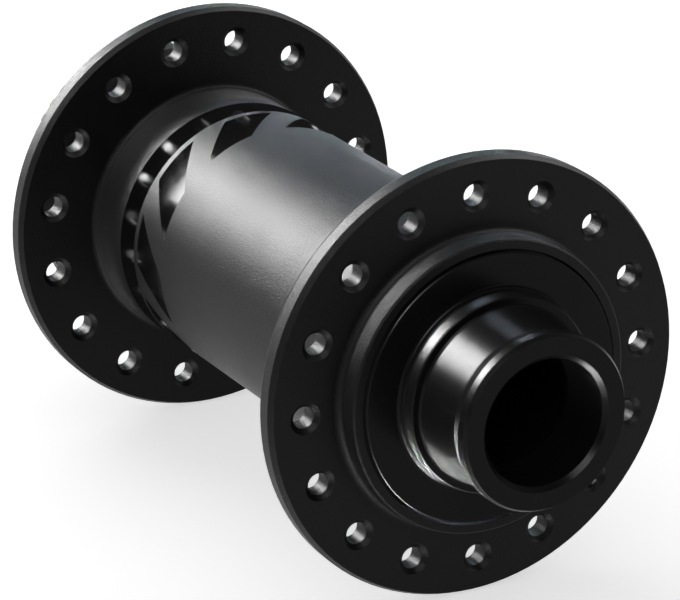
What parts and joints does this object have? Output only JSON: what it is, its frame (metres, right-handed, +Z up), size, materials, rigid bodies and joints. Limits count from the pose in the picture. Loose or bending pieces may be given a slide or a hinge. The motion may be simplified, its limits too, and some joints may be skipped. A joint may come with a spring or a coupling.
{
  "type": "bicycle front hub",
  "caption": "Black bicycle front hub for a 15 mm thru axle, with drilled spoke flanges, sealed bearings, push-on end caps and a splined seat for a disc brake rotor.",
  "frame": {"origin": "on the axle's centre line, midway between the two faces that the fork clamps", "axes": "+Y along the axle towards the brake rotor's side, the bicycle's left; +X forwards; +Z up"},
  "size_m": [0.053, 0.11, 0.053],
  "materials": {
    "shell_black": "bead-blasted and black anodised",
    "cap_black": "turned smooth and black anodised",
    "cover_black": "turned smooth and black anodised",
    "sleeve_alloy": "turned and black anodised",
    "bearing_steel": "ground and polished",
    "cage_nylon": "moulded",
    "seal_rubber": "moulded"
  },
  "bodies": {
    "axle_assembly": {"axle_sleeve": "sleeve_alloy", "right_end_cap": "cap_black", "right_dust_cover": "cover_black", "right_cap_o_ring": "seal_rubber", "right_bearing_inner_ring": "bearing_steel", "left_end_cap": "cap_black", "left_dust_cover": "cover_black", "left_cap_o_ring": "seal_rubber", "left_bearing_inner_ring": "bearing_steel"},
    "hub": {"hub_shell": "shell_black", "right_bearing_outer_ring": "bearing_steel", "right_bearing_outer_seal": "seal_rubber", "right_bearing_inner_seal": "seal_rubber", "left_bearing_outer_ring": "bearing_steel", "left_bearing_outer_seal": "seal_rubber", "left_bearing_inner_seal": "seal_rubber"},
    "right_cage": {"right_bearing_cage": "cage_nylon", "right_bearing_balls": "bearing_steel"},
    "left_cage": {"left_bearing_cage": "cage_nylon", "left_bearing_balls": "bearing_steel"}
  },
  "joints": [
    {"name": "hub_spin", "type": "hinge", "parent": "axle_assembly", "child": "hub", "pos_m": [0, 0, 0], "axis": [0, 1, 0], "continuous": true},
    {"name": "right_cage_spin", "type": "hinge", "parent": "axle_assembly", "child": "right_cage", "pos_m": [0, -0.0377, 0], "axis": [0, 1, 0], "continuous": true},
    {"name": "left_cage_spin", "type": "hinge", "parent": "axle_assembly", "child": "left_cage", "pos_m": [0, 0.0377, 0], "axis": [0, 1, 0], "continuous": true}
  ],
  "couplings": [
    {"joint": "right_cage_spin", "follows": "hub_spin", "ratio": 0.56046},
    {"joint": "left_cage_spin", "follows": "hub_spin", "ratio": 0.56046}
  ]
}
